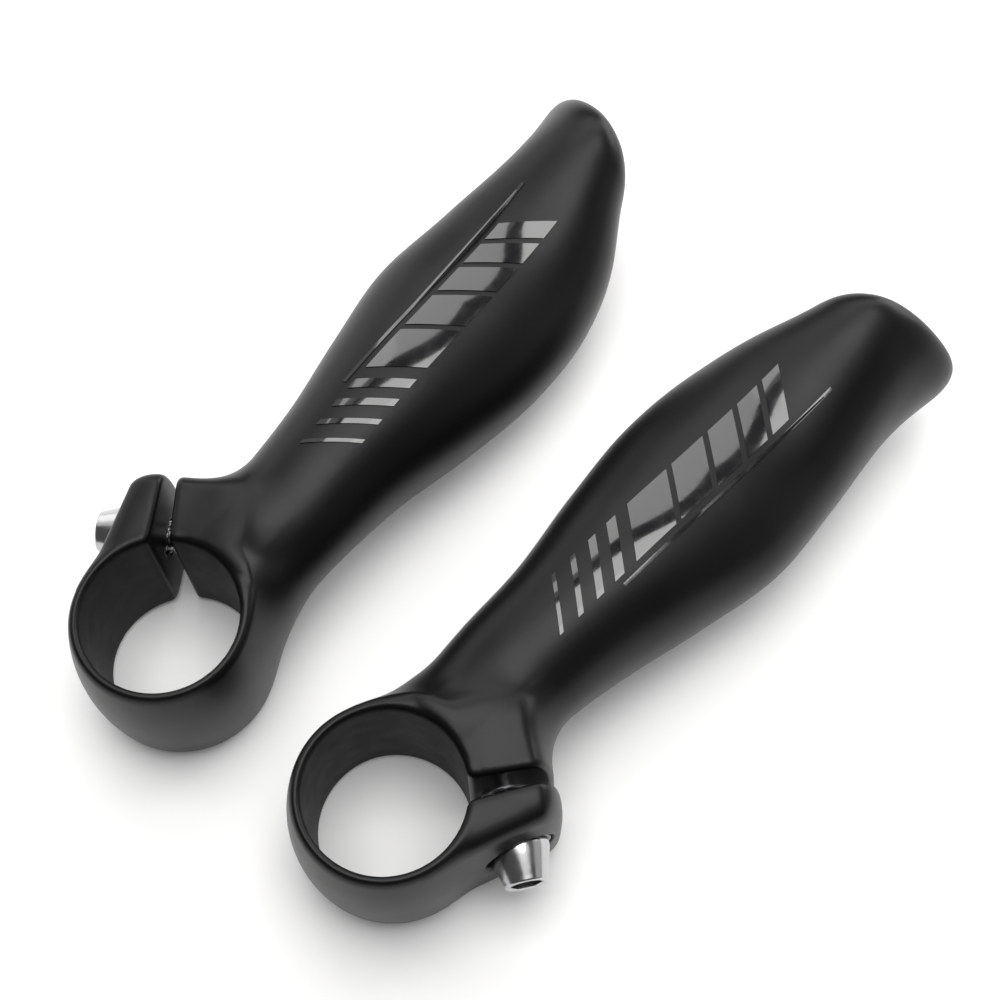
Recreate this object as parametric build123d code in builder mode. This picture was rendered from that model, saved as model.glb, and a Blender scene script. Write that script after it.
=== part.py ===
"""A pair of bar end grips: two hollow moulded grips, mirror images of each other, each clamped by one bolt.

Frame: millimetres. The origin is the centre of the right grip's clamp bore, halfway along the bore.
+X runs from the bore towards the right grip's tip, +Z points outboard along the bore's axis, and the
clamp's slot and bolt are on the -Y side. The left grip is its mirror image, laid beside it.
"""

from build123d import *
import math
import os

# ---- clamp ring -----------------------------------------------------------------------------------
BAR_RADIUS = 11.1               # a 22.2 mm handlebar
RING_WIDTH = 24.4               # along the bore
RING_CROWN_RADIUS = 14.3        # outside, at mid width
RING_FACE_RADIUS = 12.8         # outside, at the two faces
RING_EDGE = 0.9                 # rounding of the faces' outer edges

# ---- clamp jaws, slot and bolt line ---------------------------------------------------------------
SLOT_ANGLE = -32.5              # direction of the slot, from +X
SLOT_WIDTH = 2.2
BOLT_CROSSING = (12.6, -10.4)   # where the bolt's axis crosses the slot
JAW_REACH = 6.6                 # from the bolt's axis to the jaws' end, along the slot
JAW_DEPTH = 7.4                 # from the slot's middle to the outer flank, at the bolt
JAW_BACK = 10.0                 # from the slot's middle back into the neck
FLANK_ANGLE = 13.0              # the flank runs out to the ring at this angle to the slot
FLANK_LENGTH = 13.0             # from the bolt's axis back to the ring
JAW_CORNER = 3.0
JAW_EDGE = 1.2                  # rounding of the flank and the end into the two faces

# ---- grip body: x, y, z, half width, half height, twist and yaw of each section ---------------------
SECTIONS = (
    (6.0, 0.0, 0.0, 9.0, 9.5, 0.0, 0.0),
    (14.0, 0.6, 1.0, 9.6, 9.6, 0.0, 0.0),
    (24.0, 1.5, 2.4, 9.7, 9.3, 0.0, 0.0),
    (36.0, 1.5, 1.6, 10.7, 10.9, -4.0, 0.0),
    (50.0, 1.6, 0.7, 13.5, 12.2, -5.0, 0.0),
    (64.0, 1.6, 0.2, 15.7, 12.0, -3.0, 0.0),
    (78.0, 2.0, 0.0, 14.7, 12.0, -4.0, 4.0),
    (90.0, 1.6, 1.2, 12.2, 13.0, -12.0, 10.0),
    (100.0, -1.2, 4.2, 8.8, 13.0, -36.0, 19.0),
    (104.0, -1.8, 5.0, 6.8, 11.0, -36.0, 20.0),
    (105.8, -2.0, 5.3, 4.2, 8.2, -36.0, 20.0),
)
WALL = 2.0                      # moulded wall of the hollow body
CORE_GAP = 0.1                  # between the wall and the foam core
FIRST_HOLLOW, LAST_HOLLOW = 2, 8

# ---- bolt, washer and threaded insert (M5) ----------------------------------------------------------
THREAD_RADIUS = 2.4
HEAD_BASE_RADIUS = 4.25
HEAD_TOP_RADIUS = 3.0
HEAD_HEIGHT = 5.6
HEAD_EDGE = 0.4
HEX_ACROSS_FLATS = 4.0
HEX_DEPTH = 2.8
SEAT_DEPTH = 5.4                # the washer's seat, from the slot's middle
SEAT_RADIUS = 4.9
WASHER_RADIUS = 4.6
WASHER_HOLE_RADIUS = 2.65
WASHER_THICKNESS = 0.8
CLEARANCE_HOLE_RADIUS = 2.8
INSERT_RADIUS = 3.6
INSERT_LENGTH = 8.0
INSERT_HOLE_RADIUS = 2.45
BOLT_REACH = 7.6                # the thread's end, from the slot's middle into the insert

# ---- gloss marks on the outboard surface --------------------------------------------------------------
FILM_THICKNESS = 0.18
MARK_SLANT = 38.0               # lean of every bar, from square to the grip's length
BAR_COUNT = 4
BAR_START = 31.6
BAR_PITCH = 3.6
BAR_WIDTHS = (0.7, 1.0, 1.4, 1.8)
BLOCK_LENGTHS = (8.0, 6.5, 5.2, 4.2, 3.4)
BLOCK_START = 46.6
BLOCK_GAP = 1.1
MARK_LOW, MARK_HIGH = -1.2, 5.8  # band across the grip that bars and blocks fill
LINE_START, LINE_END = 45.0, 84.0
LINE_WIDTH = 0.5
LINE_Y = -2.6

# ---- how the pair lies --------------------------------------------------------------------------------
LEFT_POSITION = (-5.3, 39.9)
LEFT_YAW = 8.0

HALF_WIDTH = RING_WIDTH / 2
HALF_SLOT = SLOT_WIDTH / 2
SLOT_DIR = Vector(math.cos(math.radians(SLOT_ANGLE)), math.sin(math.radians(SLOT_ANGLE)), 0)
BOLT_DIR = Vector(SLOT_DIR.Y, -SLOT_DIR.X, 0)
FAR = 200.0                     # longer than the whole grip


def jaw_point(along, out):
    """A point in plan, so far along the slot and so far out from its middle, from the bolt's axis."""
    point = Vector(*BOLT_CROSSING, 0) + SLOT_DIR * along + BOLT_DIR * out
    return (point.X, point.Y)


def bolt_plane(out):
    """A plane across the bolt's axis, so far out from the slot's middle, facing out of the jaw."""
    return Plane(origin=(*jaw_point(0, out), 0), x_dir=SLOT_DIR, z_dir=BOLT_DIR)


def section_plane(section):
    """The plane of a body section, with its local x across the grip and its local y outboard."""
    x, y, z, _, _, twist, yaw = section
    across = Plane(origin=(x, y, z), x_dir=(0, 1, 0), z_dir=(1, 0, 0))
    turned = across.location * Location((0, 0, 0), (0, yaw, 0)) * Location((0, 0, 0), (0, 0, twist))
    return Plane(turned)


def body_loft(sections, inset):
    """A closed solid through the given sections, every one of them smaller all round by the inset."""
    with BuildPart() as lofted:
        for section in sections:
            with BuildSketch(section_plane(section)):
                Ellipse(section[3] - inset, section[4] - inset)
        loft()
    return lofted.part


def ring_form():
    """The clamp ring as a solid barrel, with rounded edges at its two faces."""
    with BuildPart() as ring:
        with BuildSketch(Plane.XZ) as profile:
            with BuildLine():
                Polyline(
                    (RING_FACE_RADIUS, -HALF_WIDTH), (0, -HALF_WIDTH), (0, HALF_WIDTH),
                    (RING_FACE_RADIUS, HALF_WIDTH),
                )
                ThreePointArc(
                    (RING_FACE_RADIUS, -HALF_WIDTH), (RING_CROWN_RADIUS, 0), (RING_FACE_RADIUS, HALF_WIDTH)
                )
            make_face()
            fillet(profile.vertices().group_by(Axis.X)[-1], RING_EDGE)
        revolve(axis=Axis.Z)
    return ring.part


def jaw_form():
    """The block of both jaws before it is slotted, its outer flank running back to touch the ring."""
    rise = math.tan(math.radians(FLANK_ANGLE))
    with BuildPart() as jaws:
        with BuildSketch(Plane.XY.offset(-HALF_WIDTH)) as plan:
            with BuildLine():
                Polyline(
                    jaw_point(-FLANK_LENGTH, JAW_DEPTH + rise * FLANK_LENGTH),
                    jaw_point(JAW_REACH, JAW_DEPTH - rise * JAW_REACH),
                    jaw_point(JAW_REACH, -JAW_BACK),
                    jaw_point(-FLANK_LENGTH, -JAW_BACK),
                    close=True,
                )
            make_face()
            outer_corner = Vector(*jaw_point(JAW_REACH, JAW_DEPTH - rise * JAW_REACH), 0)
            fillet(plan.vertices().sort_by_distance(outer_corner)[0], JAW_CORNER)
        extrude(amount=RING_WIDTH)
        fillet(jaws.edges().filter_by(Plane.XY).filter_by(is_outside), JAW_EDGE)
    return jaws.part


def is_outside(edge):
    """Whether an edge of the jaws' block runs along their outer flank or round their end."""
    middle = edge.position_at(0.5) - Vector(*BOLT_CROSSING, 0)
    return middle.dot(SLOT_DIR) > JAW_REACH - JAW_CORNER or middle.dot(BOLT_DIR) > JAW_DEPTH - JAW_CORNER


def make_shell():
    """The moulded grip: hollow body, clamp ring and jaws in one piece."""
    hollow = body_loft(SECTIONS[FIRST_HOLLOW:LAST_HOLLOW], WALL)
    with BuildPart() as shell:
        add(body_loft(SECTIONS, 0.0))
        add(ring_form())
        add(jaw_form())
        add(hollow, mode=Mode.SUBTRACT)
        with BuildSketch(Plane.XY.offset(-HALF_WIDTH)):
            Circle(BAR_RADIUS)
        extrude(amount=RING_WIDTH, mode=Mode.SUBTRACT)
        with BuildSketch(Plane.XY.offset(-HALF_WIDTH)):
            with Locations(Location((*jaw_point(0, 0), 0), (0, 0, SLOT_ANGLE))):
                Rectangle(2 * FLANK_LENGTH, SLOT_WIDTH)
        extrude(amount=RING_WIDTH, mode=Mode.SUBTRACT)
        with BuildSketch(bolt_plane(0)):
            Circle(CLEARANCE_HOLE_RADIUS)
        extrude(amount=SEAT_DEPTH + 1, mode=Mode.SUBTRACT)
        with BuildSketch(bolt_plane(SEAT_DEPTH)):
            Circle(SEAT_RADIUS)
        extrude(amount=HEAD_HEIGHT, mode=Mode.SUBTRACT)
        with BuildSketch(bolt_plane(0)):
            Circle(INSERT_RADIUS)
        extrude(amount=-HALF_SLOT - INSERT_LENGTH, mode=Mode.SUBTRACT)
    return shell


def make_core():
    """The foam core that fills the hollow body."""
    with BuildPart() as core:
        add(body_loft(SECTIONS[FIRST_HOLLOW:LAST_HOLLOW], WALL + CORE_GAP))
        core_trim = SECTIONS[FIRST_HOLLOW][0] + CORE_GAP
        split(bisect_by=Plane.YZ.offset(core_trim), keep=Keep.TOP)
        far_plane = section_plane(SECTIONS[LAST_HOLLOW - 1]).offset(-CORE_GAP)
        split(bisect_by=far_plane, keep=Keep.BOTTOM)
    return core


def make_bolt():
    """The taper head clamp bolt, with a hexagon socket."""
    seat = SEAT_DEPTH + WASHER_THICKNESS
    with BuildPart() as bolt:
        with BuildSketch(Plane.XZ) as profile:
            with BuildLine():
                Polyline(
                    (0, 0), (HEAD_BASE_RADIUS, 0), (HEAD_TOP_RADIUS, HEAD_HEIGHT), (0, HEAD_HEIGHT), close=True
                )
            make_face()
            fillet(profile.vertices().group_by(Axis.X)[1:], HEAD_EDGE)
        revolve(axis=Axis.Z)
        with BuildSketch(Plane.XY.offset(HEAD_HEIGHT)):
            RegularPolygon(HEX_ACROSS_FLATS / 2, 6, major_radius=False)
        extrude(amount=-HEX_DEPTH, mode=Mode.SUBTRACT)
        with BuildSketch():
            Circle(THREAD_RADIUS)
        extrude(amount=-seat - BOLT_REACH)
        chamfer(bolt.edges().filter_by(GeomType.CIRCLE).sort_by(Axis.Z)[0], HEAD_EDGE)
    with BuildPart() as placed:
        with Locations(bolt_plane(seat).location):
            add(bolt.part)
    return placed


def make_washer():
    """The washer under the bolt's head, in its recess."""
    with BuildPart() as washer:
        with BuildSketch(bolt_plane(SEAT_DEPTH)):
            Circle(WASHER_RADIUS)
            Circle(WASHER_HOLE_RADIUS, mode=Mode.SUBTRACT)
        extrude(amount=WASHER_THICKNESS)
    return washer


def make_insert():
    """The threaded insert bonded into the jaw on the grip's side of the slot."""
    with BuildPart() as insert:
        with BuildSketch(bolt_plane(-HALF_SLOT)):
            Circle(INSERT_RADIUS)
        extrude(amount=-INSERT_LENGTH)
        with BuildSketch(bolt_plane(-HALF_SLOT)):
            Circle(INSERT_HOLE_RADIUS)
        extrude(amount=-INSERT_LENGTH + 1.0, mode=Mode.SUBTRACT)
    return insert


def slanted(x, length):
    """The four corners of a bar that starts at x, leaning by the marks' slant."""
    lean = (MARK_HIGH - MARK_LOW) * math.tan(math.radians(MARK_SLANT))
    return ((x, MARK_LOW), (x + length, MARK_LOW), (x + lean + length, MARK_HIGH), (x + lean, MARK_HIGH))


def bar_outlines():
    """The row of slim slanted bars, each one wider than the last."""
    return [slanted(BAR_START + BAR_PITCH * i, BAR_WIDTHS[i]) for i in range(BAR_COUNT)]


def block_outlines():
    """The row of slanted blocks, each one shorter than the last."""
    outlines = []
    x = BLOCK_START
    for length in BLOCK_LENGTHS:
        outlines.append(slanted(x, length))
        x += length + BLOCK_GAP
    return outlines


def line_outlines():
    """The thin straight line beside the blocks."""
    high = LINE_Y + LINE_WIDTH
    return [((LINE_START, LINE_Y), (LINE_END, LINE_Y), (LINE_END, high), (LINE_START, high))]


def make_film(outlines):
    """A gloss film that stands just proud of the body's outboard surface, cut to the given outlines."""
    with BuildPart() as film:
        with BuildSketch():
            for outline in outlines:
                with BuildLine():
                    Polyline(*outline, close=True)
                make_face()
        extrude(amount=FAR)
        add(body_loft(SECTIONS, -FILM_THICKNESS), mode=Mode.INTERSECT)
        add(body_loft(SECTIONS, 0.0), mode=Mode.SUBTRACT)
    return film


def left_hand(right):
    """The left grip's copy of a right-hand piece: mirrored, turned and laid in its place."""
    with BuildPart() as left:
        with Locations(Location((*LEFT_POSITION, 0), (0, 0, LEFT_YAW))):
            add(mirror(right.part, about=Plane.XZ, mode=Mode.PRIVATE))
    return left


def main():
    """Builds every piece of both grips and writes each one as a STEP file."""
    pieces = {
        "grip_shell": make_shell(),
        "foam_core": make_core(),
        "clamp_bolt": make_bolt(),
        "bolt_washer": make_washer(),
        "threaded_insert": make_insert(),
        "bar_marks": make_film(bar_outlines()),
        "block_marks": make_film(block_outlines()),
        "line_mark": make_film(line_outlines()),
    }
    os.makedirs("parts", exist_ok=True)
    for name, piece in pieces.items():
        for side, part in (("right", piece.part), ("left", left_hand(piece).part)):
            part.label = side + "_" + name
            export_step(part, "parts/" + part.label + ".step")


if __name__ == "__main__":
    main()
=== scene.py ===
"""A mirrored pair of matt black bar end grips on a pale table: detailed shells, bolts, marks and materials.

Shapes are worked out in the grip's own frame in millimetres, the same frame as the CAD's right grip: the
origin in the middle of the clamp bore, x towards the tip, z outboard, the clamp's slot on the -y side.
"""

import math

import bmesh
import bpy
import numpy as np
from mathutils import Matrix, Vector


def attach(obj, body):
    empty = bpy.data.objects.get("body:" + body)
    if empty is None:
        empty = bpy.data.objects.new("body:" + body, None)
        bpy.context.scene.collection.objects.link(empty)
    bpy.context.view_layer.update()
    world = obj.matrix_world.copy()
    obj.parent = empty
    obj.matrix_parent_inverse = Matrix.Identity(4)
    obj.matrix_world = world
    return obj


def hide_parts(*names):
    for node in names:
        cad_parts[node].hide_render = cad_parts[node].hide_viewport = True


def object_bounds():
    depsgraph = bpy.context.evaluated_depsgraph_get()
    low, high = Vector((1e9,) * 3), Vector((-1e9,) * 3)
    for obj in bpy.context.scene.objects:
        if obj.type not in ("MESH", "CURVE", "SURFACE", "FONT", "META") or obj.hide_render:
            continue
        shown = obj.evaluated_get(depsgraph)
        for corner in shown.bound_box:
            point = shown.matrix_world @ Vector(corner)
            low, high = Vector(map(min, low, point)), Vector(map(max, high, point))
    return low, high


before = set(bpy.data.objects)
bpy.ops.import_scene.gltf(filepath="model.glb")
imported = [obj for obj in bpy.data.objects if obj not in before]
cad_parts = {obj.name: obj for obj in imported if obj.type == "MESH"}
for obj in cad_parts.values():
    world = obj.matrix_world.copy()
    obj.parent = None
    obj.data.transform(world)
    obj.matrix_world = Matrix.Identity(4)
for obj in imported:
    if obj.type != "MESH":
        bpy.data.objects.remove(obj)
cad_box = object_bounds()

MM = 0.001

# ---- sizes in millimetres, the main ones as in the CAD model -----------------------------------------
BAR_RADIUS = 11.1
HALF_WIDTH = 12.2
RING_CROWN_RADIUS = 14.05
RING_CROWN_LEVEL = -1.5
RING_FALL = 0.0095         # how fast the ring's barrel falls off from its crown
SLOT_ANGLE = math.radians(-32.5)
HALF_SLOT = 1.2
SLOT_TAPER = 0.045         # the slot narrows towards the jaws' end
SLOT_BACK = 8.0            # how far the slot runs from the bolt back to the bore
BOLT_CROSSING = np.array([12.6, -10.4, 0.0])
JAW_REACH = 7.0
BACK_JAW_REACH = 6.8
JAW_END_LENGTH = 4.0
JAW_END_DEPTH = 14.0
JAW_END_POWER = 2.4
JAW_DEPTH = 7.4
JAW_BACK = 10.0
JAW_BACK_BLEND = 3.0
JAW_START = 12.6
FLANK_SLOPE = math.tan(math.radians(13.0))
SEAT_DEPTH = 5.4
SEAT_RADIUS = 4.9
CLEARANCE_HOLE_RADIUS = 2.8
INSERT_RADIUS = 3.6
INSERT_LENGTH = 8.0
WASHER_RADIUS = 4.6
WASHER_HOLE_RADIUS = 2.65
WASHER_THICKNESS = 0.8
THREAD_RADIUS = 2.4
THREAD_PITCH = 0.8
THREAD_DEPTH = 0.42
THREAD_STEPS = 12          # rows of points in each turn of the thread
THREAD_START = 0.4         # plain length at the shank's point and under the head
THREAD_PLAIN_TURNS = 1.6   # turns left off the thread, at the point and under the head
THREAD_STEEPNESS = 1.5     # above 1 the thread has flat crests and roots
SHANK_POINT_CHAMFER = 0.5
BOLT_REACH = 7.6
BOLT_SEGMENTS = 96
HEAD_BASE_RADIUS = 4.25
HEAD_TOP_RADIUS = 3.0
HEAD_HEIGHT = 5.6
HEAD_UNDERSIDE_INSET = 0.35
HEAD_BEVEL = 0.4
HEAD_SKIRT = 1.0           # height of the straight band under the taper
HEAD_SKIRT_DRAFT = 0.04
HEAD_TAPER_SHARES = (0.3, 0.5, 0.7, 0.85)
HEAD_TAPER_FLARE = 0.12
HEAD_TOP_ROUND = 0.38
HEAD_TOP_INSET = 0.3
HEX_HALF_FLATS = 2.0
HEX_DEPTH = 2.8
HEX_CHAMFER = 0.22
HEX_CHAMFER_END = 0.16
HEX_FLOOR_ROUND = 0.1
HEX_FLOOR_SHARE = 0.93     # the floor's size, as a share of the socket's
HEX_FLOOR_CONE = 0.5
END_RADIUS = 0.01          # the tiny open ring left at each end of the bolt's outline
ARC_STEPS = 5              # steps in each small round of the bolt's head
WASHER_BREAK = 0.12        # the washer's softly broken edges
WASHER_SEGMENTS = 72
LEFT_PLACE = Matrix.Translation((-5.3, 39.9, 0)) @ Matrix.Rotation(math.radians(8.0), 4, "Z")
LEFT_PLACE = LEFT_PLACE @ Matrix.Diagonal((1, -1, 1, 1))

# x, y, z, half width, half height and twist in degrees of the body's sections
SECTIONS = np.array((
    (6.0, 0.0, 0.0, 9.0, 9.5, 0.0),
    (14.0, 0.6, 1.0, 9.6, 9.6, 0.0),
    (24.0, 1.5, 2.4, 9.7, 9.3, 0.0),
    (36.0, 1.5, 1.6, 10.7, 10.9, -4.0),
    (50.0, 1.6, 0.7, 13.5, 12.2, -5.0),
    (64.0, 1.6, 0.2, 15.7, 12.0, -3.0),
    (78.0, 2.0, 0.0, 14.7, 12.0, -4.0),
    (90.0, 1.4, 1.2, 12.1, 12.9, -12.0),
    (100.0, -1.2, 3.9, 8.9, 12.6, -32.0),
    (110.0, -3.4, 6.0, 6.8, 12.6, -33.0),
))
SECTION_POWER = 2.15       # a little squarer than an ellipse
TIP_X = 104.8              # where the tip is cut off, on its middle line
TIP_SWEEP = -0.5           # slope of the cut, which runs back towards +y
TIP_SWEEP_START = 70.0     # where the sections begin to lean with the cut
TIP_ROUND = 6.0
BODY_START = 12.0
BODY_START_BLEND = 4.0

NECK_BLEND = 9.0           # widths of the soft blends between forms
SLOT_SIDE_BLEND = 4.5
BLEND_CHANGE_START = -3.0  # y where the slot side's blend begins to widen into the neck's
BLEND_CHANGE_WIDTH = 8.0
FACE_RISE_START = 11.0     # x from where the body may rise over the clamp's flat faces
FACE_RISE_END = 71.0
FACE_RISE = 0.4
FACE_BLEND = 1.0
JAW_BLEND = 1.2
RIM_ROUND = 2.0
JAW_CORNER_ROUND = 3.6
BORE_ROUND = 1.2
SLOT_ROUND = 0.9
HOLE_ROUND = 0.3

slot_dir = np.array([math.cos(SLOT_ANGLE), math.sin(SLOT_ANGLE), 0.0])
bolt_dir = np.array([slot_dir[1], -slot_dir[0], 0.0])


# ---- implicit form of the right grip -----------------------------------------------------------------
def soft_max(a, b, width):
    """The larger of two distances, with their crossing rounded over the width."""
    mix = np.maximum(width - np.abs(a - b), 0.0) / width
    return np.maximum(a, b) + mix * mix * width * 0.25


def soft_min(a, b, width):
    """The smaller of two distances, with their crossing rounded over the width."""
    return -soft_max(-a, -b, width)


def along_curve(x, column):
    """One column of SECTIONS read at x, on a smooth curve through the sections."""
    knots, values = SECTIONS[:, 0], SECTIONS[:, column]
    slopes = np.gradient(values, knots)
    x = np.clip(x, knots[0], knots[-1])
    i = np.clip(np.searchsorted(knots, x) - 1, 0, len(knots) - 2)
    step = knots[i + 1] - knots[i]
    t = (x - knots[i]) / step
    low = values[i] * (1 + 2 * t) + slopes[i] * step * t
    high = values[i + 1] * (3 - 2 * t) - slopes[i + 1] * step * (1 - t)
    return low * (1 - t) ** 2 + high * t ** 2


def body_distance(x, y, z):
    """The neck and the paddle, as a row of turning rounded sections, cut off softly at the tip."""
    sweep = np.clip((x - TIP_SWEEP_START) / (TIP_X - TIP_SWEEP_START), 0.0, 1.2) ** 2 * TIP_SWEEP
    station = x - sweep * (y - along_curve(x, 1))
    half_width, half_height = along_curve(station, 3), along_curve(station, 4)
    twist = np.radians(along_curve(station, 5))
    dy, dz = y - along_curve(station, 1), z - along_curve(station, 2)
    across = np.abs(dy * np.cos(twist) + dz * np.sin(twist)) + 1e-6
    up = np.abs(dz * np.cos(twist) - dy * np.sin(twist)) + 1e-6
    n = SECTION_POWER
    k = ((across / half_width) ** n + (up / half_height) ** n) ** (1 / n)
    slope = np.hypot(across ** (n - 1) / half_width ** n, up ** (n - 1) / half_height ** n) * k ** (1 - n)
    side = (k - 1) / slope
    body = soft_max(side, station - TIP_X, TIP_ROUND)
    return soft_max(body, BODY_START - x, BODY_START_BLEND)


def clamp_distance(x, y, z):
    """The clamp ring and its two jaws, before they are bored and slotted."""
    crown = RING_CROWN_RADIUS - RING_FALL * (z - RING_CROWN_LEVEL) ** 2
    ring = np.hypot(x, y) - crown
    along, out = slot_frame(x, y)
    flank = (out - JAW_DEPTH + FLANK_SLOPE * along) / math.hypot(1, FLANK_SLOPE)
    flank = flank + 0.5 * RING_FALL * (z - RING_CROWN_LEVEL) ** 2
    reach = np.where(out > 0, JAW_REACH, BACK_JAW_REACH)
    end = rounded_end(along - reach, z - HALF_WIDTH)
    jaws = soft_max(soft_max(flank, end, JAW_CORNER_ROUND), -JAW_BACK - out, JAW_BACK_BLEND)
    jaws = np.maximum(jaws, -JAW_START - along)
    plan = soft_min(ring, jaws, JAW_BLEND)
    return soft_max(plan, np.abs(z) - HALF_WIDTH, RIM_ROUND)


def rounded_end(past_end, past_face):
    """The jaws' end, rolled over far down towards the outboard face."""
    n = JAW_END_POWER
    u = np.maximum(past_end / JAW_END_LENGTH + 1, 1e-4)
    w = np.maximum(past_face / JAW_END_DEPTH + 1, 1e-4)
    k = (u ** n + w ** n) ** (1 / n)
    slope = np.hypot(u ** (n - 1) / JAW_END_LENGTH, w ** (n - 1) / JAW_END_DEPTH) * k ** (1 - n)
    return (k - 1) / slope


def slot_frame(x, y):
    """Distances along the slot and out from its middle, counted from the bolt's axis."""
    dx, dy = x - BOLT_CROSSING[0], y - BOLT_CROSSING[1]
    return dx * slot_dir[0] + dy * slot_dir[1], dx * bolt_dir[0] + dy * bolt_dir[1]


def grip_distance(x, y, z):
    """Roughly the distance to the right grip's outer surface, negative inside the moulding."""
    change = np.clip((y - BLEND_CHANGE_START) / BLEND_CHANGE_WIDTH, 0.0, 1.0)
    blend = SLOT_SIDE_BLEND + (NECK_BLEND - SLOT_SIDE_BLEND) * change
    solid = soft_min(body_distance(x, y, z), clamp_distance(x, y, z), blend)
    rise = FACE_RISE * np.clip(x - FACE_RISE_START, 0.0, FACE_RISE_END - FACE_RISE_START)
    solid = soft_max(solid, np.abs(z) - HALF_WIDTH - rise, FACE_BLEND)
    solid = soft_max(solid, BAR_RADIUS - np.hypot(x, y), BORE_ROUND)
    along, out = slot_frame(x, y)
    slot = np.maximum(np.abs(out) - HALF_SLOT + SLOT_TAPER * along, -along - SLOT_BACK)
    solid = soft_max(solid, -slot, SLOT_ROUND)
    radius = np.hypot(along, z)
    hole = np.maximum(radius - CLEARANCE_HOLE_RADIUS, -out)
    seat = np.maximum(radius - SEAT_RADIUS, SEAT_DEPTH - out)
    pocket = np.maximum(radius - INSERT_RADIUS, np.maximum(out, -HALF_SLOT - INSERT_LENGTH - out))
    for cut in (hole, seat, pocket):
        solid = soft_max(solid, -cut, HOLE_ROUND)
    return solid


# ---- meshing -----------------------------------------------------------------------------------------
CELL = 0.42
GRID_LOW = np.array([-16.0, -26.0, -15.0])
GRID_HIGH = np.array([113.0, 22.0, 23.0])


def gradient(points, step=0.02):
    """The slope of grip_distance at the points, by differences."""
    columns = []
    for axis in range(3):
        shift = np.zeros(3)
        shift[axis] = step
        ahead, behind = points + shift, points - shift
        columns.append(grip_distance(*ahead.T) - grip_distance(*behind.T))
    return np.stack(columns, 1) / (2 * step)


def settle(points, rounds=4):
    """Moves points onto the grip's surface along its gradient, never far."""
    start = points.copy()
    for _ in range(rounds):
        slope = gradient(points)
        size = np.maximum((slope ** 2).sum(1), 0.2)
        points = points - slope * (grip_distance(*points.T) / size)[:, None]
        points = start + np.clip(points - start, -CELL, CELL)
    return points


def grip_mesh():
    """Vertices and quads of the right grip's surface, by surface nets on an even grid."""
    counts = np.ceil((GRID_HIGH - GRID_LOW) / CELL).astype(int) + 1
    axes = [GRID_LOW[i] + CELL * np.arange(counts[i]) for i in range(3)]
    value = grip_distance(*np.meshgrid(*axes, indexing="ij"))
    inside = value < 0
    total = np.zeros(tuple(counts - 1) + (3,))
    crossings = np.zeros(counts - 1)
    corners = [(i, j, k) for i in (0, 1) for j in (0, 1) for k in (0, 1)]

    def corner(array, c):
        return array[tuple(slice(c[i], counts[i] - 1 + c[i]) for i in range(3))]

    for a in corners:
        for axis in range(3):
            if a[axis]:
                continue
            b = tuple(a[i] + (i == axis) for i in range(3))
            va, vb = corner(value, a), corner(value, b)
            cut = (va < 0) != (vb < 0)
            share = np.where(cut, va / np.where(cut, va - vb, 1.0), 0.0)
            for i in range(3):
                total[..., i] += np.where(cut, a[i] + (share if i == axis else 0.0), 0.0)
            crossings += cut
    used = crossings > 0
    index = np.full(used.shape, -1)
    index[used] = np.arange(used.sum())
    cells = np.argwhere(used)
    points = GRID_LOW + CELL * (cells + total[used] / crossings[used][:, None])
    quads = []
    for axis in range(3):
        u, v = (axis + 1) % 3, (axis + 2) % 3
        first = inside.take(range(counts[axis] - 1), axis)
        second = inside.take(range(1, counts[axis]), axis)
        edges = np.argwhere(first != second)
        edges = edges[(edges[:, u] > 0) & (edges[:, v] > 0)]
        edges = edges[(edges[:, u] < counts[u] - 1) & (edges[:, v] < counts[v] - 1)]
        ring = []
        for du, dv in ((0, 0), (-1, 0), (-1, -1), (0, -1)):
            near = edges.copy()
            near[:, u] += du
            near[:, v] += dv
            ring.append(index[tuple(near.T)])
        ring = np.stack(ring, 1)
        outward = first[tuple(edges.T)]
        ring[~outward] = ring[~outward][:, ::-1]
        quads.append(ring)
    return settle(points), np.concatenate(quads)


def new_object(name, points, faces, body, material):
    """A smooth mesh object from points in metres, riding on a body, with one material."""
    mesh = bpy.data.meshes.new(name)
    mesh.from_pydata([tuple(p) for p in points], [], [tuple(int(i) for i in f) for f in faces])
    mesh.update()
    mesh.polygons.foreach_set("use_smooth", [True] * len(mesh.polygons))
    mesh.materials.append(material)
    piece = bpy.data.objects.new(name, mesh)
    bpy.context.collection.objects.link(piece)
    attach(piece, body)
    return piece


def place(points, faces, side):
    """Grip-frame points in millimetres and their faces, put where that side's grip lies, in metres."""
    points = np.asarray(points, float)
    if side == "left":
        matrix = np.array(LEFT_PLACE)
        points = points @ matrix[:3, :3].T + matrix[:3, 3]
        faces = [tuple(reversed(f)) for f in faces]
    return points * MM, faces


# ---- lathe work for the metal pieces -----------------------------------------------------------------
def lathe(rows, segments, radius_at=None):
    """Points and faces of a turned piece from (radius, height) rows; radius_at may shape a row's radius."""
    points = []
    for row, (radius, height) in enumerate(rows):
        for k in range(segments):
            angle = 2 * math.pi * k / segments
            r = radius if radius_at is None else radius_at(row, radius, angle)
            points.append((r * math.cos(angle), r * math.sin(angle), height))
    faces = []
    for row in range(len(rows) - 1):
        for k in range(segments):
            a, b = row * segments + k, row * segments + (k + 1) % segments
            faces.append((a, b, b + segments, a + segments))
    return points, faces


def on_bolt_axis(points, out):
    """Points about the z axis, stood on the bolt's axis so far out from the slot's middle."""
    p = np.asarray(points, float)
    base = BOLT_CROSSING + bolt_dir * out
    return base + p[:, :1] * slot_dir + p[:, 1:2] * np.cross(bolt_dir, slot_dir) + p[:, 2:] * bolt_dir


def hex_radius(angle):
    """The distance to a hexagon socket's wall at an angle."""
    sixth = math.pi / 3
    return HEX_HALF_FLATS / math.cos((angle % sixth) - sixth / 2)


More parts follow.
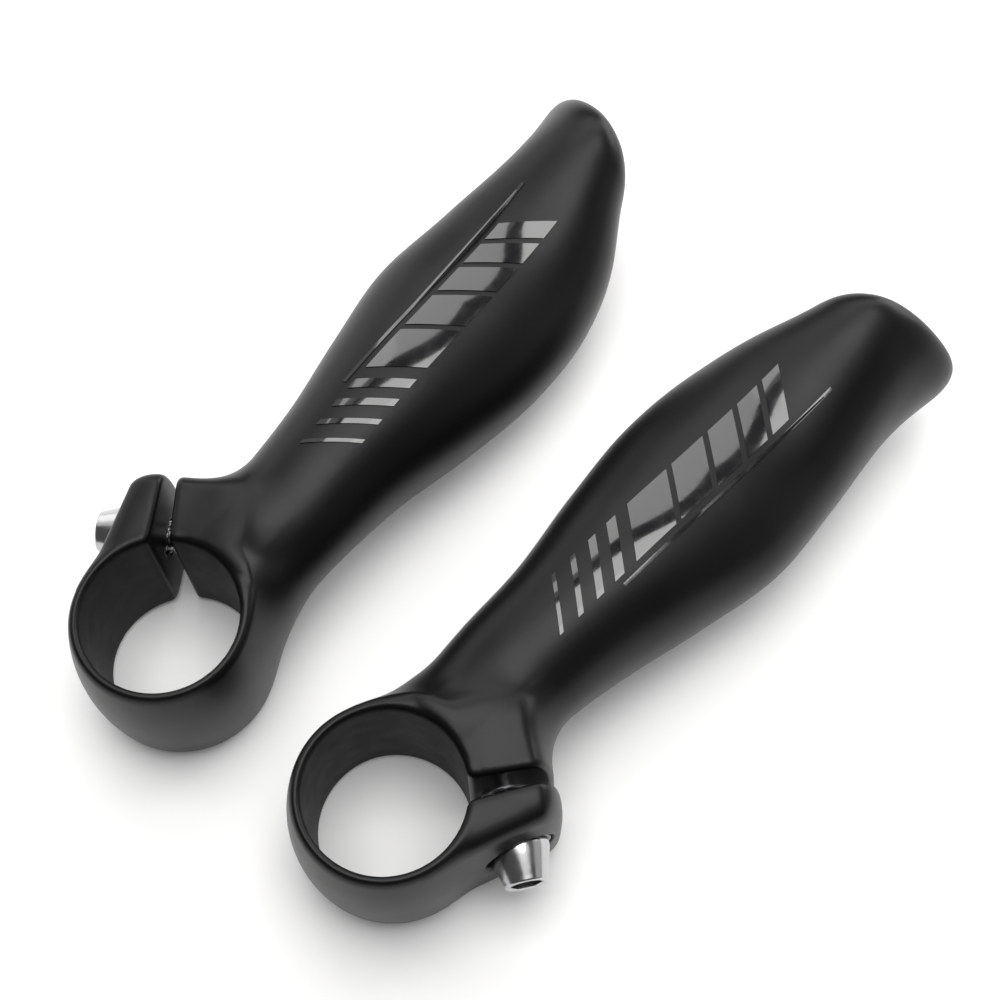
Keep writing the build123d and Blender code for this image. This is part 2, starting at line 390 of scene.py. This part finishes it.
def thread_depth(height, angle, shank_low):
    """How deep the thread is cut at a height and an angle; it fades in from the shank's point."""
    phase = (height / THREAD_PITCH - angle / (2 * math.pi)) % 1.0
    ridge = abs(phase * 2 - 1) * THREAD_STEEPNESS - (THREAD_STEEPNESS - 1) / 2
    fade = min(1.0, (height - shank_low) / THREAD_PITCH)
    return THREAD_DEPTH * (1 - min(max(ridge, 0.0), 1.0)) * fade


def bolt_mesh():
    """The taper head, its hexagon socket and the threaded shank, seat at height 0."""
    rows = []
    shapes = []

    def row(radius, height, shape=None):
        rows.append((radius, height))
        shapes.append(shape)

    shank_length = SEAT_DEPTH + WASHER_THICKNESS + BOLT_REACH
    shank_low = -shank_length
    row(END_RADIUS, shank_low)
    row(THREAD_RADIUS - SHANK_POINT_CHAMFER, shank_low)
    for i in range(int((shank_length / THREAD_PITCH - THREAD_PLAIN_TURNS) * THREAD_STEPS) + 1):
        row(THREAD_RADIUS, shank_low + THREAD_START + THREAD_PITCH * i / THREAD_STEPS, "thread")
    row(THREAD_RADIUS, -THREAD_START)
    row(THREAD_RADIUS, 0.0)
    row(HEAD_BASE_RADIUS - HEAD_UNDERSIDE_INSET, 0.0)
    arc = [math.pi / 2 * i / ARC_STEPS for i in range(ARC_STEPS + 1)]
    for a in arc[1:]:
        row(HEAD_BASE_RADIUS - HEAD_BEVEL + HEAD_BEVEL * math.sin(a), HEAD_BEVEL - HEAD_BEVEL * math.cos(a))
    row(HEAD_BASE_RADIUS - HEAD_SKIRT_DRAFT, HEAD_SKIRT)
    taper_in = HEAD_TOP_RADIUS + HEAD_TAPER_FLARE - HEAD_BASE_RADIUS
    taper_up = HEAD_HEIGHT - (HEAD_SKIRT + HEAD_BEVEL)
    for share in HEAD_TAPER_SHARES:
        row(HEAD_BASE_RADIUS + taper_in * share, HEAD_SKIRT + taper_up * share)
    for a in arc:
        row(HEAD_TOP_RADIUS - HEAD_TOP_INSET + HEAD_TOP_ROUND * math.cos(a),
            HEAD_HEIGHT - HEAD_TOP_ROUND + HEAD_TOP_ROUND * math.sin(a))
    row(HEX_HALF_FLATS / math.cos(math.pi / 6) + HEX_CHAMFER, HEAD_HEIGHT)
    row(1.0, HEAD_HEIGHT - HEX_CHAMFER_END, "hex")
    row(1.0, HEAD_HEIGHT - HEX_CHAMFER, "hex")
    row(1.0, HEAD_HEIGHT - HEX_DEPTH + HEX_FLOOR_ROUND, "hex")
    row(HEX_FLOOR_SHARE, HEAD_HEIGHT - HEX_DEPTH, "hex")
    row(END_RADIUS, HEAD_HEIGHT - HEX_DEPTH - HEX_FLOOR_CONE)

    def shaped(i, radius, angle):
        if shapes[i] == "hex":
            return radius * hex_radius(angle)
        if shapes[i] == "thread":
            return radius - thread_depth(rows[i][1], angle, shank_low)
        return radius

    return lathe(rows, BOLT_SEGMENTS, shaped)


def washer_mesh():
    """A flat washer with softly broken edges, underside at height 0."""
    b = WASHER_BREAK
    inner, outer, top = WASHER_HOLE_RADIUS, WASHER_RADIUS, WASHER_THICKNESS
    loop = [(inner, b), (inner + b, 0), (outer - b, 0), (outer, b), (outer, top - b), (outer - b, top),
            (inner + b, top), (inner, top - b), (inner, b)]
    return lathe(loop, WASHER_SEGMENTS)


# ---- gloss marks -------------------------------------------------------------------------------------
FILM_HEIGHT = 0.16
FILM_RIM = -0.08           # the films' rims lie just under the surface
FILM_CELL = 0.25
MARK_LEAN = math.tan(math.radians(38.0))
MARK_LOW, MARK_HIGH = -1.2, 5.8
BAR_START = 31.6
BAR_PITCH = 3.6
BAR_WIDTHS = (0.7, 1.0, 1.4, 1.8)
BLOCK_START = 46.6
BLOCK_LENGTHS = (8.0, 6.5, 5.2, 4.2, 3.4)
BLOCK_GAP = 1.1
LINE_START, LINE_END = 43.0, 86.0
LINE_LOW, LINE_HIGH = -2.6, -2.1


def slanted(x, length):
    """The corners of a bar or a block that starts at x and leans forward."""
    lean = (MARK_HIGH - MARK_LOW) * MARK_LEAN
    return ((x, MARK_LOW), (x + length, MARK_LOW), (x + lean + length, MARK_HIGH), (x + lean, MARK_HIGH))


def bars():
    """Slim slanted bars, each one wider than the last."""
    return [slanted(BAR_START + BAR_PITCH * i, width) for i, width in enumerate(BAR_WIDTHS)]


def blocks():
    """The row of slanted blocks, each one shorter than the last."""
    outlines = []
    x = BLOCK_START
    for length in BLOCK_LENGTHS:
        outlines.append(slanted(x, length))
        x += length + BLOCK_GAP
    return outlines


def thin_line():
    """One long thin line beside the blocks."""
    low, high = LINE_LOW, LINE_HIGH
    return [((LINE_START, low), (LINE_END, low), (LINE_END, high), (LINE_START, high))]


def surface_height(x, y, rounds=34):
    """The height of the outboard surface over points in plan, by halving the gap it lies in."""
    low = np.full(x.shape, -4.0)
    high = np.full(x.shape, 30.0)
    for _ in range(rounds):
        middle = (low + high) / 2
        solid = grip_distance(x, y, middle) < 0
        low, high = np.where(solid, middle, low), np.where(solid, high, middle)
    return (low + high) / 2


def film_mesh(outlines):
    """Thin raised films with upright rims that follow the surface, one for each outline."""
    points, faces = [], []
    for corners in outlines:
        a, b, c, d = (np.array(p) for p in corners)
        nu = max(int(np.linalg.norm(b - a) / FILM_CELL), 3)
        nv = max(int(np.linalg.norm(d - a) / FILM_CELL), 3)
        u = np.concatenate(([0.0], np.linspace(0, 1, nu + 1), [1.0]))
        v = np.concatenate(([0.0], np.linspace(0, 1, nv + 1), [1.0]))
        uu, vv = np.meshgrid(u, v, indexing="ij")
        plan = (a * ((1 - uu) * (1 - vv))[..., None] + b * (uu * (1 - vv))[..., None]
                + c * (uu * vv)[..., None] + d * ((1 - uu) * vv)[..., None])
        x, y = plan[..., 0].ravel(), plan[..., 1].ravel()
        base = np.stack([x, y, surface_height(x, y)], 1)
        normal = gradient(base)
        normal /= np.linalg.norm(normal, axis=1)[:, None]
        lift = np.full(uu.shape, FILM_HEIGHT)
        lift[0, :] = lift[-1, :] = FILM_RIM
        lift[:, 0] = lift[:, -1] = FILM_RIM
        start = len(points)
        points.extend(base + normal * lift.ravel()[:, None])
        rows, cols = uu.shape
        for i in range(rows - 1):
            for j in range(cols - 1):
                k = start + i * cols + j
                faces.append((k, k + cols, k + cols + 1, k + 1))
        under = start + np.arange(rows * cols).reshape(rows, cols)
        rim = np.concatenate((under[:, 0], under[-1, 1:], under[-2::-1, -1], under[0, -2:0:-1]))
        faces.append(tuple(rim[::-1]))
    return points, faces


# ---- materials ---------------------------------------------------------------------------------------
def principled(name, color, roughness, metallic=0.0, coat=0.0, coat_roughness=0.1, specular=0.5):
    """A new material and its main shader, with constants on the sockets."""
    material = bpy.data.materials.new(name)
    material.use_nodes = True
    shader = material.node_tree.nodes["Principled BSDF"]
    shader.inputs["Base Color"].default_value = (*color, 1)
    shader.inputs["Roughness"].default_value = roughness
    shader.inputs["Metallic"].default_value = metallic
    shader.inputs["Coat Weight"].default_value = coat
    shader.inputs["Coat Roughness"].default_value = coat_roughness
    shader.inputs["Specular IOR Level"].default_value = specular
    return material, shader


def noise(material, scale, detail=3.0):
    """A noise texture laid out in object space, in metres."""
    nodes, links = material.node_tree.nodes, material.node_tree.links
    where = nodes.new("ShaderNodeTexCoord")
    texture = nodes.new("ShaderNodeTexNoise")
    texture.inputs["Scale"].default_value = scale
    texture.inputs["Detail"].default_value = detail
    links.new(where.outputs["Object"], texture.inputs["Vector"])
    return texture


def vary(material, shader, socket, texture, low, high):
    """Drives a number on the shader between two values by a texture."""
    nodes, links = material.node_tree.nodes, material.node_tree.links
    spread = nodes.new("ShaderNodeMapRange")
    spread.inputs["From Min"].default_value = 0.3
    spread.inputs["From Max"].default_value = 0.7
    spread.inputs["To Min"].default_value = low
    spread.inputs["To Max"].default_value = high
    links.new(texture.outputs["Fac"], spread.inputs["Value"])
    links.new(spread.outputs["Result"], shader.inputs[socket])


def tint(material, shader, texture, dark, light):
    """Varies the base colour between two colours by a texture."""
    nodes, links = material.node_tree.nodes, material.node_tree.links
    ramp = nodes.new("ShaderNodeValToRGB")
    ramp.color_ramp.elements[0].position = 0.3
    ramp.color_ramp.elements[1].position = 0.7
    ramp.color_ramp.elements[0].color = (*dark, 1)
    ramp.color_ramp.elements[1].color = (*light, 1)
    links.new(texture.outputs["Fac"], ramp.inputs["Fac"])
    links.new(ramp.outputs["Color"], shader.inputs["Base Color"])


def bump(material, shader, texture, distance, strength):
    """Very fine relief from a texture, its distance in metres."""
    nodes, links = material.node_tree.nodes, material.node_tree.links
    node = nodes.new("ShaderNodeBump")
    node.inputs["Distance"].default_value = distance
    node.inputs["Strength"].default_value = strength
    links.new(texture.outputs["Fac"], node.inputs["Height"])
    links.new(node.outputs["Normal"], shader.inputs["Normal"])


def satin_black():
    """Satin lacquer over the moulding: very fine orange peel and slight changes of sheen."""
    material, shader = principled("satin_black", (0.004, 0.004, 0.0046), 0.36, specular=0.2)
    vary(material, shader, "Roughness", noise(material, 160, 4), 0.34, 0.38)
    tint(material, shader, noise(material, 60, 5), (0.0034, 0.0034, 0.0039), (0.0046, 0.0046, 0.0054))
    bump(material, shader, noise(material, 5200, 2), 0.000012, 0.6)
    return material


def bore_black_painted_table_light():
    """The inside of the clamp bore: duller and rougher than the lacquer, and a little lighter and greener
    in colour, which is painted light from the pale table.
    """
    material, shader = principled("bore_black_painted_table_light", (0.009, 0.009, 0.0085), 0.6, specular=0.2)
    vary(material, shader, "Roughness", noise(material, 300, 4), 0.56, 0.64)
    tint(material, shader, noise(material, 250, 5), (0.0085, 0.0085, 0.008), (0.0095, 0.0095, 0.009))
    bump(material, shader, noise(material, 2500, 3), 0.00002, 0.8)
    return material


def gloss_black():
    """The glossy printed film of the marks."""
    color = (0.008, 0.008, 0.009)
    material, shader = principled("gloss_black_film", color, 0.1, coat=0.6, coat_roughness=0.05)
    vary(material, shader, "Roughness", noise(material, 400, 3), 0.07, 0.14)
    bump(material, shader, noise(material, 1500, 2), 0.000006, 0.5)
    return material


def bright_metal(name, color, low, high, scale):
    """Metal whose roughness wanders between two values."""
    material, shader = principled(name, color, low, metallic=1.0)
    vary(material, shader, "Roughness", noise(material, scale, 4), low, high)
    bump(material, shader, noise(material, scale * 4, 2), 0.000004, 0.5)
    return material


def foam():
    """Pale foam of the hidden core."""
    material, shader = principled("core_foam", (0.7, 0.68, 0.62), 0.9)
    tint(material, shader, noise(material, 900, 4), (0.6, 0.58, 0.52), (0.75, 0.73, 0.67))
    bump(material, shader, noise(material, 1500, 3), 0.0001, 0.8)
    return material


black = satin_black()
bore = bore_black_painted_table_light()
film = gloss_black()
chrome = bright_metal("bolt_chrome", (0.5, 0.5, 0.51), 0.16, 0.26, 700)
steel = bright_metal("washer_steel", (0.2, 0.2, 0.205), 0.32, 0.44, 900)
alloy = bright_metal("insert_alloy", (0.6, 0.6, 0.62), 0.3, 0.42, 900)
core_foam = foam()


# ---- the pieces of both grips ------------------------------------------------------------------------
SHARP_ANGLE = math.radians(32)
BORE_MARGIN = 0.12         # faces this close to the bore's wall get the rougher bore material, its lighter colour painted light from the table

shell_points, shell_faces = grip_mesh()
face_middles = shell_points[shell_faces].mean(1)
from_bore_axis = np.hypot(face_middles[:, 0], face_middles[:, 1])
in_bore = (from_bore_axis < BAR_RADIUS + BORE_MARGIN).astype(int).tolist()
bolt_points, bolt_faces = bolt_mesh()
bolt_points = on_bolt_axis(bolt_points, SEAT_DEPTH + WASHER_THICKNESS)
washer_points, washer_faces = washer_mesh()
washer_points = on_bolt_axis(washer_points, SEAT_DEPTH)
films = {
    "bar_marks": film_mesh(bars()),
    "block_marks": film_mesh(blocks()),
    "line_mark": film_mesh(thin_line()),
}

for side in ("right", "left"):
    grip, washer_body, bolt_body = side + "_grip", side + "_washer", side + "_bolt"
    shape = place(shell_points, shell_faces, side)
    piece = new_object(side + "_shell", *shape, grip, black)
    # the bore's faces get the rougher material whose lighter, greener colour is painted light from the
    # table
    piece.data.materials.append(bore)
    piece.data.polygons.foreach_set("material_index", in_bore)
    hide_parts(side + "_grip_shell")
    shape = place(bolt_points, bolt_faces, side)
    piece = new_object(side + "_bolt_detailed", *shape, bolt_body, chrome)
    piece.data.set_sharp_from_angle(angle=SHARP_ANGLE)
    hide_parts(side + "_clamp_bolt")
    shape = place(washer_points, washer_faces, side)
    piece = new_object(side + "_washer_detailed", *shape, washer_body, steel)
    piece.data.set_sharp_from_angle(angle=SHARP_ANGLE)
    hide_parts(side + "_bolt_washer")
    for name, (points, faces) in films.items():
        piece = new_object(side + "_" + name + "_film", *place(points, faces, side), grip, film)
        piece.data.set_sharp_from_angle(angle=SHARP_ANGLE)
        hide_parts(side + "_" + name)
    for name, material in (("_threaded_insert", alloy), ("_foam_core", core_foam)):
        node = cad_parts[side + name]
        for material_slot in node.material_slots:
            material_slot.material = material


# ---- table, light and camera -------------------------------------------------------------------------
TABLE_REACH = 3.0
TABLE_MIDDLE = (0.04, 0.02)
TABLE_GAP = 0.00002
TABLE_GLOW = 0.08
SKY_STRENGTH = 0.1
SOFTBOX_DISTANCE = 0.8
SOFTBOX_WIDTH, SOFTBOX_HEIGHT = 0.6, 0.45
SOFTBOX_COLOR = (1.0, 0.995, 0.985)
SOFTBOX_TARGET = Vector((0.045, 0.02, 0.0))
# compass angle and height in degrees, and power in watts, of each softbox round the table
SOFTBOXES = (
    (0, 18, 4.0),
    (45, 45, 2.5),
    (47, 85, 5.0),
    (90, 18, 1.5),
    (92, 50, 0.6),
    (275, 70, 0.8),
    (315, 18, 0.4),
)
LOOK_AT = Vector((0.0399, 0.0189, 0.0122))
VIEW_DISTANCE = 0.2394
VIEW_ELEVATION = math.radians(65.86)
VIEW_HEADING = math.radians(90 - 42.89)
VIEW_ROLL = math.radians(1.71)
LENS = 61.2
SENSOR = 36.0


def studio_floor():
    """A large plain pale table, just under the grips."""
    material, shader = principled("pale_table", (0.9, 0.9, 0.9), 0.6, specular=0.2)
    tint(material, shader, noise(material, 30, 2), (0.885, 0.885, 0.885), (0.9, 0.9, 0.9))
    shader.inputs["Emission Color"].default_value = (1, 1, 1, 1)
    shader.inputs["Emission Strength"].default_value = TABLE_GLOW
    mesh = bpy.data.meshes.new("table_top")
    form = bmesh.new()
    bmesh.ops.create_grid(form, x_segments=8, y_segments=8, size=TABLE_REACH)
    bmesh.ops.translate(form, verts=form.verts, vec=(*TABLE_MIDDLE, cad_box[0][2] - TABLE_GAP))
    form.to_mesh(mesh)
    form.free()
    mesh.materials.append(material)
    floor = bpy.data.objects.new("table_top", mesh)
    bpy.context.collection.objects.link(floor)


def aim(thing, target):
    """Turns a light to face a point."""
    thing.rotation_euler = (Vector(target) - thing.location).to_track_quat("-Z", "Y").to_euler()


def softbox(azimuth, elevation, power):
    """A soft area light that faces the grips, placed by its compass angle and height in degrees."""
    name = "softbox_%03d_%02d" % (azimuth, elevation)
    light = bpy.data.lights.new(name, "AREA")
    light.shape = "RECTANGLE"
    light.size, light.size_y = SOFTBOX_WIDTH, SOFTBOX_HEIGHT
    light.energy = power
    light.color = SOFTBOX_COLOR
    lamp = bpy.data.objects.new(name, light)
    a, e = math.radians(azimuth), math.radians(elevation)
    offset = Vector((math.cos(a) * math.cos(e), math.sin(a) * math.cos(e), math.sin(e)))
    lamp.location = SOFTBOX_TARGET + offset * SOFTBOX_DISTANCE
    bpy.context.collection.objects.link(lamp)
    aim(lamp, SOFTBOX_TARGET)


def camera():
    """The camera, placed by its heading, its elevation and its distance from the point it looks at."""
    data = bpy.data.cameras.new("camera")
    data.lens = LENS
    data.sensor_width = SENSOR
    data.clip_start = 0.01
    eye = bpy.data.objects.new("camera", data)
    forward = Vector((
        math.cos(VIEW_HEADING) * math.cos(VIEW_ELEVATION),
        math.sin(VIEW_HEADING) * math.cos(VIEW_ELEVATION),
        -math.sin(VIEW_ELEVATION),
    ))
    eye.location = LOOK_AT - forward * VIEW_DISTANCE
    eye.rotation_mode = "QUATERNION"
    level = forward.to_track_quat("-Z", "Y")
    eye.rotation_quaternion = level @ Matrix.Rotation(-VIEW_ROLL, 3, "Z").to_quaternion()
    bpy.context.collection.objects.link(eye)
    bpy.context.scene.camera = eye


studio_floor()
camera()
for azimuth, elevation, power in SOFTBOXES:
    softbox(azimuth, elevation, power)
world = bpy.data.worlds.new("studio")
world.use_nodes = True
world.node_tree.nodes["Background"].inputs["Color"].default_value = (1, 1, 1, 1)
world.node_tree.nodes["Background"].inputs["Strength"].default_value = SKY_STRENGTH
bpy.context.scene.world = world

bpy.context.scene.view_settings.view_transform = "Standard"
